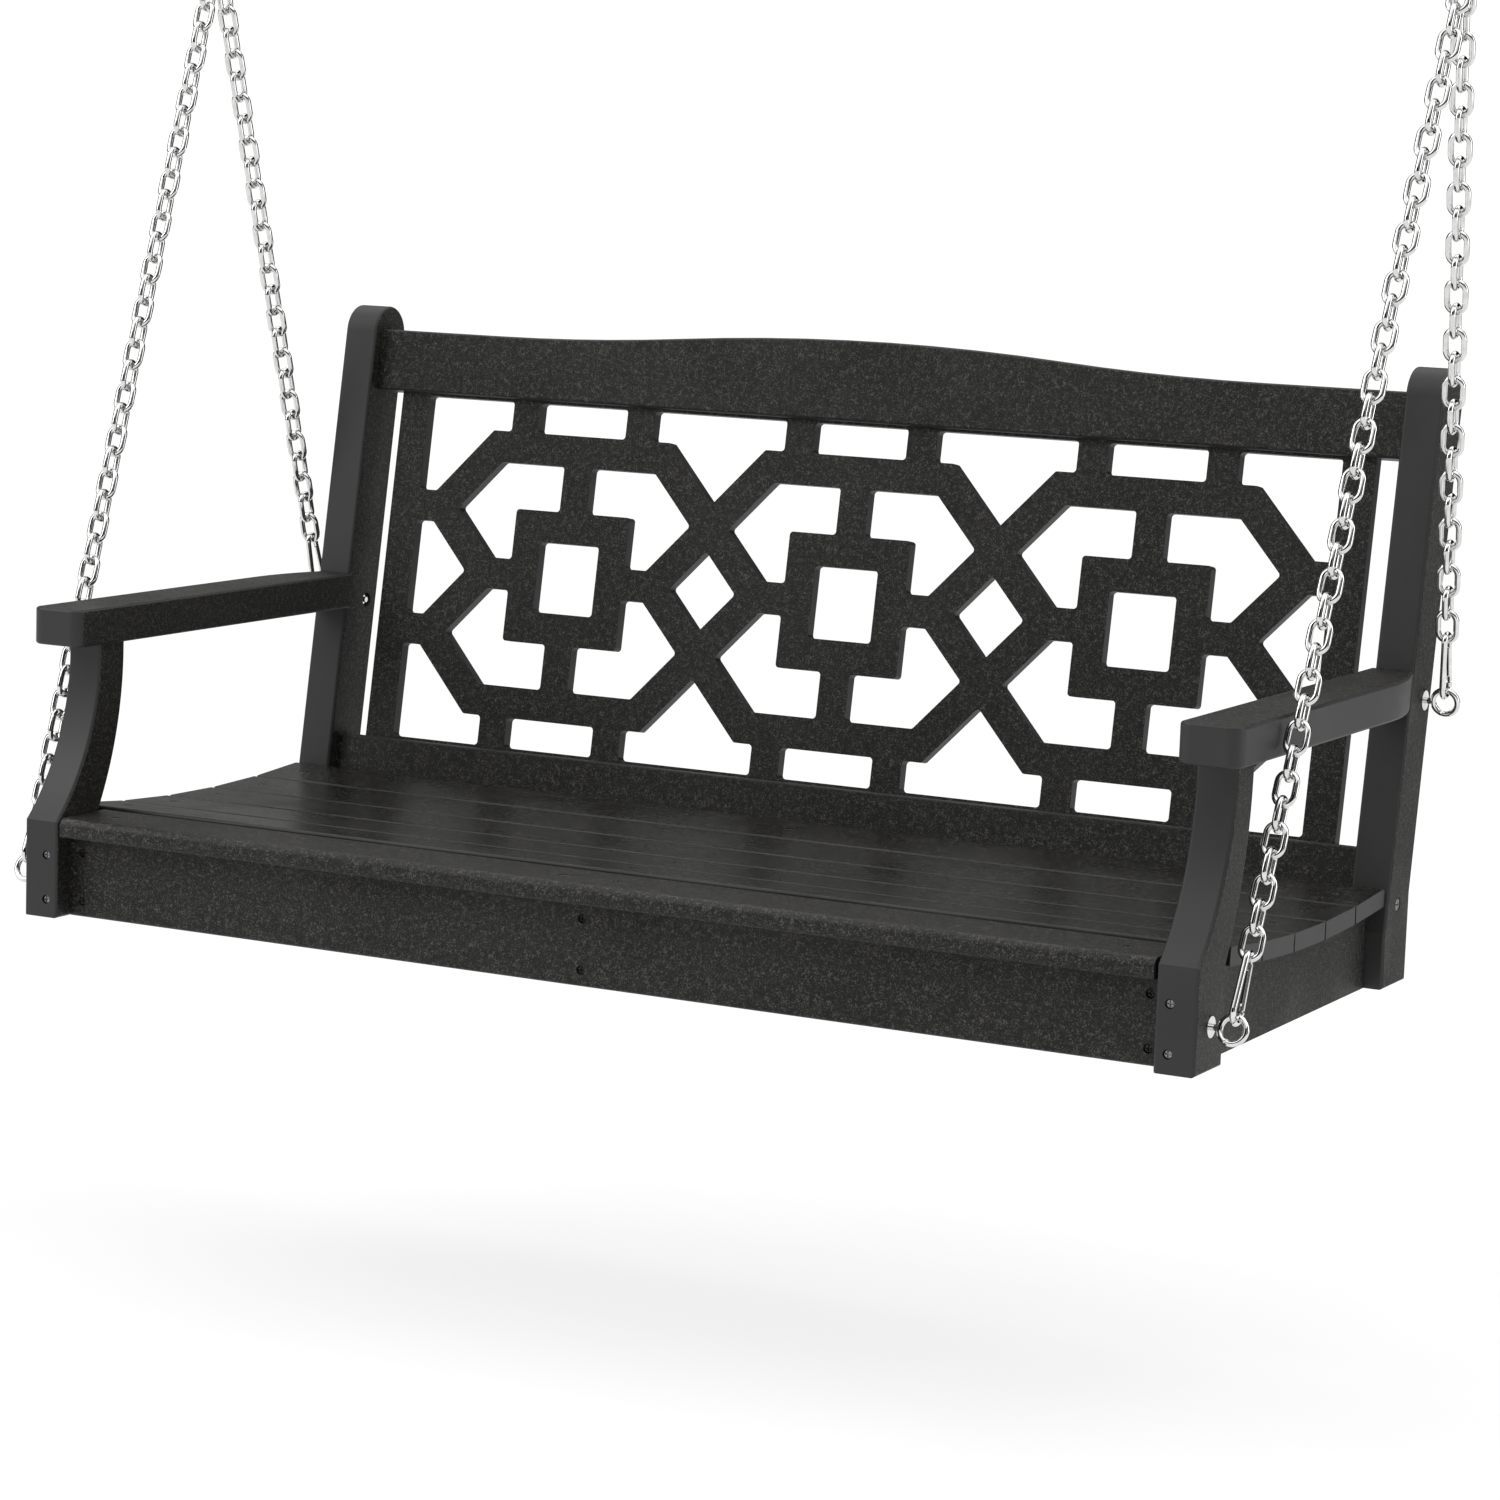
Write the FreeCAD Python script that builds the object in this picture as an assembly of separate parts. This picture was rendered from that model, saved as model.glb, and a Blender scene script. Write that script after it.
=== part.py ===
"""Two-seat porch swing: lattice-back bench in recycled plastic boards, hung from two ceiling hooks.

The bench is drawn in its own square frame: X across, Y from front to back, Z up from the feet of
the posts, millimetres.  It is then weighed and hung, so that its centre of mass comes to rest under
the hook line.  The finished model has its origin on the ceiling, midway between the two hooks.
"""
import FreeCAD, Part
import math
import os

Vec = FreeCAD.Vector
X, Y, Z = Vec(1, 0, 0), Vec(0, 1, 0), Vec(0, 0, 1)

# ---- bench, overall ----
WIDTH = 1290.0          # over the outer faces of the posts
STOCK = 40.0            # thickness of posts and side rails
BACK_Y = 492.0          # front face of the back posts' feet, from the front posts' front face
BACK_HEIGHT = 610.0     # top of the back posts
ARM_TOP = 314.0         # top face of the arms

# ---- front posts ----
FOOT_DEPTH = 66.0       # front to back, below the kink
KINK_FRONT = 99.5       # height of the kink in the front face
KINK_REAR = 94.0        # height of the kink in the rear face
POST_SET = 71.0         # the front face is this far back where it meets the arm
POST_TOP_DEPTH = 41.5
POST_STRAIGHT = 8.0     # plumb length below the arm

# ---- back posts ----
BACK_LEAN = 9.5         # degrees from plumb
BEND_FRONT = 57.0       # height at which the front face starts to lean
BEND_REAR = 90.0
BACK_FOOT_DEPTH = 68.0
CROWN_RADIUS = 30.5     # full-round top

# ---- seat ----
FRONT_RAIL_SET = 23.5   # front rail, behind the posts' front face
FRONT_RAIL_THICK = 30.0
FRONT_RAIL_HEIGHT = 84.0
SIDE_RAIL_INSET = 19.3  # side rail's outer face, inside the posts' outer face
SEAT_FRONT_Z = 89.0     # side rail's top at the first dished slat
DISH_DEPTH = 13.6
DISH_BACK = 182.0       # lowest point of the dish, ahead of the back posts
SLAT_WIDTH = 80.0
SLAT_THICK = 18.0
SLAT_GAP = 3.0          # least gap between slats
SLAT_INSET = 3.0        # slat ends, inside the posts' outer faces
FRONT_SLAT_WIDTH = 78.0
FRONT_SLAT_THICK = 20.0
NOSE_RADIUS = 9.0

# ---- back ----
RAIL_SET = 15.0         # rails and panel, behind the posts' leaning front face
RAIL_THICK = 30.0
LOWER_EDGE = 82.5       # top of the lower rail, up the lean from the bend
LOWER_RAIL_HEIGHT = 130.0
TOP_RAIL_HEIGHT = 68.0
TOP_RAIL_DROP = 3.5     # top of the top rail's ends, above the start of the posts' round crown
CREST_RISE = 18.5
CREST_HALF_SHARE = 0.744        # half length of the crest, as a share of the rail's half length
GROOVE_DEPTH = 15.0

# ---- lattice ----
PANEL_THICK = 13.0
MOTIFS = 3
BAR = 34.5              # width of every bar
STILE_GAP = 30.0        # between the panel's ends and the posts
STILE = 35.5            # width of the panel's end bars
END_ROOM = 29.5         # from the last crossing's line to the end bar
MARGIN = 3.0            # the openings stop this far short of the rails
CUT_RADIUS = 4.0        # router radius in the openings' corners
# centre lines, as shares of the pitch from motif to motif
RING_SHARE, STUB_SHARE, SPREAD_SHARE = 0.160, 0.212, 0.1874
# the same up the lean, as shares of the opening between the back rails
RING_RISE, CROSS_RISE, OCTAGON_RISE = 0.1441, 0.1784, 0.3626

# ---- arms ----
ARM_THICK = 38.0
ARM_INNER = 5.0         # overhang inside the posts' inner face
ARM_OUTER = 17.5        # overhang outside the posts' outer face
ARM_NOSE = 42.5         # overhang in front of the posts
ARM_TAPER = 100.0       # length over which the outer edge draws in to the back post
ARM_CORNER = 14.0
ARM_BEHIND = 20.0       # rough length behind the back post's front face, before the arm is fitted to it
CUT_PAST = 5.0          # that cut runs this far past the arm

# ---- hardware ----
EDGE = 3.0              # rounding of board edges
FIT = 0.1               # clearance round screws and dowels
SCREW_HEAD, SCREW_SHANK = 4.2, 2.2      # radii
HEAD_HEIGHT, HEAD_SUNK, SLAT_HEAD_SUNK, BOLT_HEAD_SUNK = 2.8, 1.8, 0.3, 0.6
HEAD_FIT, HEAD_ROUND, SCREW_POINT = 0.4, 0.9, 0.3
CROSS_SPAN, CROSS_WIDE, CROSS_DEEP = 1.45, 1.3, 1.8     # recess; the span is a share of the head's radius
PANEL_FIT, PANEL_END_FIT = 0.2, 2.0     # round the lattice panel, across and at the groove's bottom
DOWEL_CHAMFER = 1.0
POST_SCREW_OUT = 26.5   # post screws, in from the posts' outer face
SCREW_LOW, SCREW_HIGH = 18.5, 64.5      # heights of the screw pairs
RAIL_SCREW_IN = 15.0    # front rail screws, in from the rail's end
SLAT_SCREW_CLEAR = 30.0 # front slat screws, to the side of the front rail screws
POST_SCREW_LENGTH, RAIL_SCREW_LENGTH, SLAT_SCREW_LENGTH, ARM_SCREW_LENGTH = 100.0, 75.0, 45.0, 85.0
BOLT_HEAD, BOLT_SHANK, BOLT_LENGTH = 6.5, 3.0, 80.0
BOLT_DOWN = 53.0        # back bolt, below the lower rail's top edge
DOWEL, DOWEL_LENGTH = 5.0, 44.0         # radius, length
EYE_FRONT_Y, EYE_FRONT_Z = 33.0, 41.5
EYE_REAR_DEPTH, EYE_REAR_Z = 42.0, 281.5        # depth behind the back post's front face
EYE_OUT = 22.0          # eye centre, out from the post
EYE_WIRE, EYE_RADIUS = 3.0, 12.5      # wire radius, centre-line radius
EYE_GAP, EYE_GAP_TURN = 1.6, 42.0       # opening beside the shank, degrees below it
EYE_SHANK, EYE_POCKET, EYE_POCKET_DEPTH = 3.0, 8.0, 10.0
WASHER, WASHER_THICK = 10.0, 1.5
SMALL_WASHER, NUT_FLATS, NUT_THICK = 7.0, 10.0, 5.0

# ---- snap hooks ----
HOOK_LENGTH = 71.0
HOOK_WIRE = 3.0
HOOK_WIDE, HOOK_NARROW = 10.5, 7.0       # centre-line radii at the eye end and the chain end
TOUCH = 0.1             # gap left between hardware that bears on its neighbour
GATE_WIRE = 2.7
GATE_SLOT = 1.5         # half width of the slots in the gate
TONGUE = 1.1            # half thickness of the tongues in the slots
GATE_PIN = 1.0
PIN_SHORT = 0.1         # pin ends, inside the gate's surface
PIN_FIT, GATE_FIT = 0.05, 0.3           # round the pin, in the tongue and in the gate
TONGUE_HALF_WIDTH = 1.7
PIVOT_TONGUE, LATCH_TONGUE = 8.0, 5.5   # lengths
PIVOT_BACK, LATCH_AHEAD = 4.0, 3.0      # pivot and latch, beyond the ends of the hook's wire
GATE_OVER_PIVOT, GATE_OVER_LATCH = 2.4, 1.8
PIVOT_SLOT, LATCH_SLOT = 4.4, 4.6       # depth of the gate's slots, from the pivot and the latch
SLOT_OPEN = 1.0         # the slots run this far past the gate's ends
GATE_ROUND = 0.7
EYE_SIDE_TURN, PIVOT_SIDE_TURN = 8.0, 2.0       # where the hook's wire ends, degrees round its bends

# ---- chains ----
LINK_WIRE = 3.0
LINK_INNER_LENGTH = 24.1
LINK_INNER_WIDTH = 12.4
FRONT_LINKS, REAR_LINKS = 39, 27
RING_WIRE, RING_INNER = 3.5, 14.5

# ---- ceiling hooks ----
HOOK_OUT = 58.0         # ceiling hooks, out from the posts' outer faces
BOWL_WIRE, BOWL_RADIUS = 4.0, 16.0
BOWL_FLAT = 5.0         # straight bottom of the bowl
SWING_GAP = 0.3         # between ring and ceiling hook
NECK_TURN, BOWL_END = 60.0, 195.0       # degrees of the neck's bend, and round the bowl
STEM = 14.0             # straight stem below the ceiling
FLANGE, FLANGE_THICK = 11.0, 2.5
STUD, STUD_LENGTH, STUD_POINT, STUD_TIP = 4.0, 62.0, 10.0, 0.5

# kilograms per cubic millimetre
BOARD_DENSITY, STEEL_DENSITY = 1.10e-6, 7.85e-6

# ---- worked out from the above ----
HALF = WIDTH / 2
HOOK_X = HALF + HOOK_OUT
STEM_X = HOOK_X + BOWL_FLAT / 2
HOOK_DROP = STEM + 2 * BOWL_RADIUS * math.sin(math.radians(NECK_TURN)) + BOWL_RADIUS
POST_IN = HALF - STOCK
ARM_BOTTOM = ARM_TOP - ARM_THICK
LEAN = math.radians(BACK_LEAN)
UP_BACK = Vec(0, math.sin(LEAN), math.cos(LEAN))
INTO_BACK = Vec(0, math.cos(LEAN), -math.sin(LEAN))
BACK_ORIGIN = Vec(0, BACK_Y, BEND_FRONT)
RAIL_MID = RAIL_SET + RAIL_THICK / 2
LINK_PITCH = LINK_INNER_LENGTH - TOUCH
FRONT_RAIL_REAR = FRONT_RAIL_SET + FRONT_RAIL_THICK
CROWN_START = (BACK_HEIGHT - BEND_FRONT - CROWN_RADIUS * (1 - math.sin(LEAN))) / math.cos(LEAN)
UPPER_EDGE = CROWN_START + TOP_RAIL_DROP - TOP_RAIL_HEIGHT
BACK_OPENING = UPPER_EDGE - LOWER_EDGE
BACK_CENTRE = (UPPER_EDGE + LOWER_EDGE) / 2
SIDE_OUT = HALF - SIDE_RAIL_INSET
SIDE_IN = SIDE_OUT - STOCK
SIDE_MID = (SIDE_OUT + SIDE_IN) / 2

shapes = {}
steel = set()


# ---- small helpers ----
def add(name, shape, metal=False):
    shapes[name] = shape
    if metal:
        steel.add(name)


def in_back(u, depth, x=0.0):
    """A point of the leaning back: u up the lean, depth behind the posts' front face."""
    return BACK_ORIGIN + UP_BACK * u + INTO_BACK * depth + X * x


def post_front_y(z):
    """The back posts' front face at height z."""
    return BACK_Y + max(0.0, z - BEND_FRONT) * math.tan(LEAN)


def rounded(points, radius):
    """A closed wire through the points with its corners rounded; radius is one value or a list."""
    count = len(points)
    radii = radius if isinstance(radius, list) else [radius] * count
    edges, first, last = [], None, None
    for i in range(count):
        before, here, after = points[i - 1], points[i], points[(i + 1) % count]
        back, ahead = (before - here).normalize(), (after - here).normalize()
        half_angle = back.getAngle(ahead) / 2
        if radii[i] < 1e-6 or half_angle > math.pi / 2 - 1e-3:
            start = end = here
        else:
            reach = radii[i] / math.tan(half_angle)
            start, end = here + back * reach, here + ahead * reach
            centre = here + (back + ahead).normalize() * (radii[i] / math.sin(half_angle))
            middle = centre + (here - centre).normalize() * radii[i]
        if last is not None:
            edges.append(Part.LineSegment(last, start).toShape())
        else:
            first = start
        if start != end:
            edges.append(Part.Arc(start, middle, end).toShape())
        last = end
    edges.append(Part.LineSegment(last, first).toShape())
    return Part.Wire(edges)


def plate(wire, direction):
    return Part.Face(wire).extrude(direction)


def side_board(outline, x0, x1, radius=0.0):
    """A board cut to an outline of (y, z) points and x0 to x1 thick."""
    wire = rounded([Vec(x0, y, z) for y, z in outline], radius)
    return plate(wire, X * (x1 - x0))


def box(x0, x1, y0, y1, z0, z1):
    return Part.makeBox(x1 - x0, y1 - y0, z1 - z0, Vec(x0, y0, z0))


def soften(solid, radius, keep):
    """Round the edges that keep() picks."""
    return solid.makeFillet(radius, [edge for edge in solid.Edges if keep(edge)])


def along_x(edge):
    ends = [v.Point for v in edge.Vertexes]
    return len(ends) == 2 and abs((ends[1] - ends[0]).normalize().x) > 0.999


def on_planes(*xs):
    """Picks the edges that lie in one of the planes x = ..."""
    def keep(edge):
        span = edge.BoundBox
        return any(abs(span.XMin - x) < 1e-4 and abs(span.XMax - x) < 1e-4 for x in xs)
    return keep


def mirror(shape):
    return shape.mirror(Vec(0, 0, 0), X)


def both_sides(name, shape, metal=False):
    """The right-hand piece and its left-hand twin."""
    add(name + "_r", shape, metal)
    add(name + "_l", mirror(shape), metal)


def rod(edges, radius):
    """Round bar bent along a chain of tangent edges."""
    path = Part.Wire(edges)
    start = edges[0].valueAt(edges[0].FirstParameter)
    heading = edges[0].tangentAt(edges[0].FirstParameter)
    section = Part.Wire(Part.makeCircle(radius, start, heading))
    return path.makePipeShell([section], True, False)


def segment(a, b):
    return Part.LineSegment(a, b).toShape()


def arc(a, b, c):
    return Part.Arc(a, b, c).toShape()


def group(solids):
    return Part.makeCompound(solids)


# ---- fasteners: each makes the piece and the hole it sits in ----
def screw(place, heading, length, head=SCREW_HEAD, shank=SCREW_SHANK, sunk=HEAD_SUNK):
    """A cross-head screw driven from a face at place; its head stands sunk below that face."""
    under = place + heading * sunk
    solid = Part.makeCylinder(head, HEAD_HEIGHT, under, heading)
    solid = soften(solid, HEAD_ROUND, lambda edge: abs((edge.CenterOfMass - under).dot(heading)) < 1e-4
                   and edge.Length > 6 * head - 1)
    tip = length - HEAD_HEIGHT - 2 * shank
    solid = solid.fuse(Part.makeCylinder(shank, tip, under + heading * HEAD_HEIGHT, heading))
    point = under + heading * (HEAD_HEIGHT + tip)
    solid = solid.fuse(Part.makeCone(shank, SCREW_POINT, 2 * shank, point, heading))
    across = heading.cross(X if abs(heading.x) < 0.5 else Y).normalize()
    corner = Vec(-head * CROSS_SPAN / 2, -CROSS_WIDE / 2, 0)
    for arm in (across, heading.cross(across)):
        slot = Part.makeBox(head * CROSS_SPAN, CROSS_WIDE, CROSS_DEEP, corner)
        turn = FreeCAD.Rotation(arm, heading.cross(arm), heading, "ZXY")
        slot.Placement = FreeCAD.Placement(under, turn)
        solid = solid.cut(slot)
    return solid


def screw_hole(place, heading, length, head=SCREW_HEAD, shank=SCREW_SHANK, sunk=HEAD_SUNK):
    start = place - heading * 1.0
    seat = Part.makeCylinder(head + HEAD_FIT, 1.0 + sunk + HEAD_HEIGHT, start, heading)
    return seat.fuse(Part.makeCylinder(shank + FIT, 1.0 + sunk + length + 1.0, start, heading))


def dowel(place, heading, length=DOWEL_LENGTH, radius=DOWEL):
    start = place - heading * (length / 2)
    pin = Part.makeCylinder(radius, length, start, heading)
    pin = pin.makeChamfer(DOWEL_CHAMFER, [edge for edge in pin.Edges if edge.Length > 6 * radius])
    hole = Part.makeCylinder(radius + FIT, length + 2, start - heading, heading)
    return pin, hole


# ---- front posts ----
def sweep_back(y_low, z_low, y_top, z_top):
    """Middle of an arc that leaves (y_low, z_low) leaning back and ends plumb at (y_top, z_top)."""
    set_back, rise = y_top - y_low, z_top - z_low
    radius = (set_back ** 2 + rise ** 2) / (2 * set_back)
    half = math.asin(rise / radius) / 2
    return y_top - radius + radius * math.cos(half), z_top - radius * math.sin(half)


def front_post():
    x0, x1 = POST_IN, HALF
    bend = ARM_BOTTOM - POST_STRAIGHT
    rear = POST_SET + POST_TOP_DEPTH
    mid_front = sweep_back(0, KINK_FRONT, POST_SET, bend)
    mid_rear = sweep_back(FOOT_DEPTH, KINK_REAR, rear, bend)

    def at(y, z):
        return Vec(x0, y, z)
    edges = [
        segment(at(0, 0), at(0, KINK_FRONT)),
        arc(at(0, KINK_FRONT), at(*mid_front), at(POST_SET, bend)),
        segment(at(POST_SET, bend), at(POST_SET, ARM_BOTTOM)),
        segment(at(POST_SET, ARM_BOTTOM), at(rear, ARM_BOTTOM)),
        segment(at(rear, ARM_BOTTOM), at(rear, bend)),
        arc(at(rear, bend), at(*mid_rear), at(FOOT_DEPTH, KINK_REAR)),
        segment(at(FOOT_DEPTH, KINK_REAR), at(FOOT_DEPTH, 0)),
        segment(at(FOOT_DEPTH, 0), at(0, 0)),
    ]
    post = plate(Part.Wire(edges), X * (x1 - x0))
    outline = on_planes(x0, x1)
    return soften(post, EDGE, lambda edge: outline(edge) and edge.BoundBox.ZMin < ARM_BOTTOM - 1)


# ---- back posts ----
def back_post():
    x0, x1 = POST_IN, HALF
    front_top = in_back(CROWN_START, 0, x0)
    crown = in_back(CROWN_START + CROWN_RADIUS, CROWN_RADIUS, x0)
    rear_top = in_back(CROWN_START, 2 * CROWN_RADIUS, x0)
    rear_y = BACK_Y + BACK_FOOT_DEPTH
    edges = [
        segment(Vec(x0, BACK_Y, 0), Vec(x0, BACK_Y, BEND_FRONT)),
        segment(Vec(x0, BACK_Y, BEND_FRONT), front_top),
        arc(front_top, crown, rear_top),
        segment(rear_top, Vec(x0, rear_y, BEND_REAR)),
        segment(Vec(x0, rear_y, BEND_REAR), Vec(x0, rear_y, 0)),
        segment(Vec(x0, rear_y, 0), Vec(x0, BACK_Y, 0)),
    ]
    post = plate(Part.Wire(edges), X * (x1 - x0))
    return soften(post, EDGE, on_planes(x0, x1))


# ---- seat: slats lie on flats that follow a shallow dish ----
SEAM = FRONT_SLAT_WIDTH + SLAT_GAP / 2
DISH_Y = BACK_Y - DISH_BACK
DISH_RADIUS = ((DISH_Y - SEAM) ** 2 + DISH_DEPTH ** 2) / (2 * DISH_DEPTH)
DISH_Z = SEAT_FRONT_Z - DISH_DEPTH
SEAT_END = post_front_y(SEAT_FRONT_Z) - SLAT_GAP / 2
SLATS = int((SEAT_END - SEAM) // (SLAT_WIDTH + SLAT_GAP))
SLAT_PITCH = (SEAT_END - SEAM) / SLATS


def dish_point(angle, radius=DISH_RADIUS):
    return (DISH_Y + radius * math.sin(angle), DISH_Z + DISH_RADIUS - radius * math.cos(angle))


def slat_angle(index):
    return (SEAM + (index + 0.5) * SLAT_PITCH - DISH_Y) / DISH_RADIUS


def seat_profile():
    """The top of a seat rail, front to back: one flat under each slat."""
    half_step = SLAT_PITCH / DISH_RADIUS / 2
    corner = DISH_RADIUS / math.cos(half_step)
    angles = [slat_angle(0) + (2 * i - 1) * half_step for i in range(SLATS + 1)]
    return [dish_point(angle, corner) for angle in angles]


def side_rail():
    """Runs from post to post; its inner half is notched past the front post to the front rail."""
    top = seat_profile()
    rear = post_front_y(top[-1][1])
    outline = [(FOOT_DEPTH, 0), (BACK_Y, 0), (BACK_Y, BEND_FRONT), (rear, top[-1][1])]
    outline += top[::-1] + [(SEAM, FRONT_RAIL_HEIGHT), (FOOT_DEPTH, FRONT_RAIL_HEIGHT)]
    board = side_board(outline, SIDE_IN, SIDE_OUT)
    tongue = box(SIDE_IN, POST_IN, FRONT_RAIL_REAR, FOOT_DEPTH + 1, 0, FRONT_RAIL_HEIGHT)
    return board.fuse(tongue).removeSplitter()


def centre_rail():
    """Carries the middle of the slats, from the front rail to the lower back rail."""
    top = seat_profile()
    face = in_back(0, RAIL_SET)
    base = face.y - face.z * math.tan(LEAN)
    rear = base + top[-1][1] * math.tan(LEAN)
    outline = [(FRONT_RAIL_REAR, 0), (base, 0), (rear, top[-1][1])] + top[::-1]
    outline += [(SEAM, FRONT_RAIL_HEIGHT), (FRONT_RAIL_REAR, FRONT_RAIL_HEIGHT)]
    return side_board(outline, -STOCK / 2, STOCK / 2)


def front_rail():
    rail = box(-POST_IN, POST_IN, FRONT_RAIL_SET, FRONT_RAIL_REAR, 0, FRONT_RAIL_HEIGHT)
    return soften(rail, EDGE, lambda edge: along_x(edge) and edge.BoundBox.YMax < FRONT_RAIL_REAR - 1)


def front_slat():
    end = POST_IN - SLAT_INSET
    slat = box(-end, end, 0, FRONT_SLAT_WIDTH, FRONT_RAIL_HEIGHT, FRONT_RAIL_HEIGHT + FRONT_SLAT_THICK)
    top = FRONT_RAIL_HEIGHT + FRONT_SLAT_THICK
    slat = soften(slat, NOSE_RADIUS, lambda edge: along_x(edge)
                  and edge.BoundBox.YMax < 1 and edge.BoundBox.ZMin > top - 1)
    return soften(slat, EDGE, lambda edge: along_x(edge) and (edge.BoundBox.YMin > 1
                  or edge.BoundBox.ZMax < top - FRONT_SLAT_THICK + 1) and edge.Length > end)


def slat_frame(index):
    """Middle of a slat's underside, and the directions across and up from it."""
    angle = slat_angle(index)
    y, z = dish_point(angle)
    return Vec(0, y, z), Vec(0, math.cos(angle), math.sin(angle)), Vec(0, -math.sin(angle), math.cos(angle))


def slat(index):
    base, across, up = slat_frame(index)
    end = HALF - SLAT_INSET
    corners = [base - across * (SLAT_WIDTH / 2), base + across * (SLAT_WIDTH / 2)]
    corners += [corners[1] + up * SLAT_THICK, corners[0] + up * SLAT_THICK]
    wire = rounded([corner - X * end for corner in corners], EDGE)
    return plate(wire, X * (2 * end))


# ---- the leaning back ----
def back_rail(bottom, height, crest):
    """A rail between the posts; a crest raises its top edge in the middle."""
    base = in_back(bottom, RAIL_SET)
    top = base + UP_BACK * height
    ends = [top + X * POST_IN, base + X * POST_IN, base - X * POST_IN, top - X * POST_IN]
    edges = [segment(a, b) for a, b in zip(ends, ends[1:])]
    if crest > 0:
        half = CREST_HALF_SHARE * POST_IN
        quarter = half / 2
        radius = (quarter ** 2 + (crest / 2) ** 2) / crest

        def at(x):
            """The crest's edge: hollow curves at its ends, a round one across its middle."""
            run = half - abs(x)
            if run <= quarter:
                rise = radius - math.sqrt(radius ** 2 - run ** 2)
            else:
                rise = crest - radius + math.sqrt(radius ** 2 - (half - run) ** 2)
            return top + X * x + UP_BACK * rise
        stops = [-half, -quarter, quarter, half]
        edges.append(segment(ends[-1], at(-half)))
        edges += [arc(at(a), at((a + b) / 2), at(b)) for a, b in zip(stops, stops[1:])]
        edges.append(segment(at(half), ends[0]))
    else:
        edges.append(segment(ends[-1], ends[0]))
    rail = plate(Part.Wire(edges), INTO_BACK * RAIL_THICK)
    return soften(rail, EDGE, lambda edge: edge.BoundBox.XLength > 20)


def groove(edge_u, direction):
    """The slot that the panel stands in, cut from edge_u up (1) or down (-1) the lean."""
    half = PANEL_THICK / 2 + PANEL_FIT
    low, high = sorted((edge_u - direction, edge_u + direction * GROOVE_DEPTH))
    end = PANEL_HALF + 1.0
    corners = [in_back(low, RAIL_MID - half, -end), in_back(low, RAIL_MID - half, end),
               in_back(high, RAIL_MID - half, end), in_back(high, RAIL_MID - half, -end)]
    return plate(rounded(corners, 0.0), INTO_BACK * (2 * half))


# ---- lattice panel: a sheet with the openings between its bars cut out ----
PANEL_HALF = POST_IN - STILE_GAP
FIELD_X = PANEL_HALF - STILE
FIELD_V = BACK_OPENING / 2 - MARGIN
PITCH = 2 * (FIELD_X - END_ROOM) / MOTIFS
CROSS_X = PITCH / 2
RING_X, STUB_X = RING_SHARE * PITCH, STUB_SHARE * PITCH
RING_V, CROSS_V, OCTAGON_V = [share * BACK_OPENING for share in (RING_RISE, CROSS_RISE, OCTAGON_RISE)]
SLOPE = CROSS_V / (SPREAD_SHARE * PITCH)
HALF_BAR = BAR / 2
SLANT = HALF_BAR * math.sqrt(1 + SLOPE ** 2)    # half height of a slanted bar, measured plumb


def upper_edge_x(v):
    """Where the outer edge of the bar above a crossing is at height v."""
    return CROSS_X - (v - CROSS_V - SLANT) / SLOPE


def motif_openings():
    """Openings inside one motif, one of each mirrored set, as (x, v) from the motif's centre."""
    ring_in = (RING_X - HALF_BAR, RING_V - HALF_BAR)
    ring_out = (RING_X + HALF_BAR, RING_V + HALF_BAR)
    under = OCTAGON_V - HALF_BAR
    square = [(-ring_in[0], -ring_in[1]), (ring_in[0], -ring_in[1]), ring_in, (-ring_in[0], ring_in[1])]
    bay = [
        (HALF_BAR, ring_out[1]), ring_out, (ring_out[0], HALF_BAR),
        (CROSS_X - (CROSS_V + SLANT - HALF_BAR) / SLOPE, HALF_BAR),
        (CROSS_X - SLANT / SLOPE, CROSS_V),
        (CROSS_X - (under - CROSS_V + SLANT) / SLOPE, under),
        (HALF_BAR, under),
    ]
    over = OCTAGON_V + HALF_BAR
    gap = STUB_X - HALF_BAR
    window = [(-gap, over), (gap, over), (gap, FIELD_V), (-gap, FIELD_V)]
    return square, bay, window


def notch_opening():
    """The opening between two motifs and the rail: a slot with a V below it."""
    over = OCTAGON_V + HALF_BAR
    side = STUB_X + HALF_BAR
    half = [(side, FIELD_V), (side, over), (upper_edge_x(over), over), (CROSS_X, CROSS_V + SLANT)]
    return half + [(PITCH - x, v) for x, v in half[-2::-1]]


def end_openings():
    """The two openings between the last motif and the stile."""
    over = OCTAGON_V + HALF_BAR
    side = STUB_X + HALF_BAR
    edge = FIELD_X - (MOTIFS - 1) / 2 * PITCH
    stub = (SLANT - HALF_BAR) / SLOPE
    notch = [(side, FIELD_V), (side, over), (upper_edge_x(over), over),
             (CROSS_X + stub, CROSS_V + HALF_BAR), (edge, CROSS_V + HALF_BAR), (edge, FIELD_V)]
    low = CROSS_V - HALF_BAR
    tip = CROSS_X - (CROSS_V - SLANT) / SLOPE
    half_diamond = [(edge, -low), (CROSS_X + stub, -low), (tip, 0), (CROSS_X + stub, low), (edge, low)]
    return notch, half_diamond


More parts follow.
